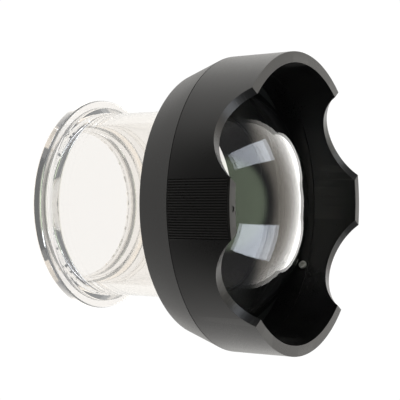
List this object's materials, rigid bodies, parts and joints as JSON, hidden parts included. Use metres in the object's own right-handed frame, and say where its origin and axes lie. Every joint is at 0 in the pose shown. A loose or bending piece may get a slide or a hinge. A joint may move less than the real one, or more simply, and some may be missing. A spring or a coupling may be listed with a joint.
{
  "type": "underwater camera dome port",
  "caption": "Clear dome port for an underwater camera housing: acrylic tube with mounting flange, clear dome and black petal-shaped shade.",
  "frame": {"origin": "centre of the rear spigot's end face, on which the port stands", "axes": "+Z along the optical axis, from the mounting flange to the dome; the narrow petals of the shade lie on +Y and -Y"},
  "size_m": [0.1626, 0.163, 0.145],
  "materials": {
    "clear_acrylic": "polished clear acrylic",
    "clear_dome": "polished clear acrylic, optical grade",
    "black_shell": "turned black acetal, fine satin",
    "black_inner": "matt black plastic",
    "stainless": "plain stainless steel",
    "grey_seal": "grey translucent silicone",
    "black_seal": "black nitrile rubber"
  },
  "bodies": {
    "port_body": {"mount_flange": "clear_acrylic", "mount_oring": "grey_seal", "port_tube": "clear_acrylic", "anti_reflection_liner": "black_inner", "dome_carrier": "black_inner", "dome_oring": "black_seal", "acrylic_dome": "clear_dome", "dome_clamp_ring": "black_inner", "cone_cover": "black_shell", "cover_screw_1": "stainless", "cover_screw_2": "stainless", "cover_screw_3": "stainless", "cover_screw_4": "stainless", "cover_screw_5": "stainless", "cover_screw_6": "stainless"},
    "shade": {"petal_shade": "black_shell", "grip_pad_1": "black_shell", "grip_pad_2": "black_shell"},
    "screw_1": {"shade_screw_1": "stainless"},
    "screw_2": {"shade_screw_2": "stainless"},
    "screw_3": {"shade_screw_3": "stainless"}
  },
  "joints": [
    {"name": "shade_lift_off", "type": "slide", "parent": "port_body", "child": "shade", "axis": [0, 0, 1], "range_m": [0, 0.04]},
    {"name": "screw_1_out", "type": "slide", "parent": "port_body", "child": "screw_1", "axis": [-0.5225, -0.8526, 0], "range_m": [0, 0.0042]},
    {"name": "screw_2_out", "type": "slide", "parent": "port_body", "child": "screw_2", "axis": [0.9997, -0.0262, 0], "range_m": [0, 0.0042]},
    {"name": "screw_3_out", "type": "slide", "parent": "port_body", "child": "screw_3", "axis": [-0.4772, 0.8788, 0], "range_m": [0, 0.0042]}
  ]
}
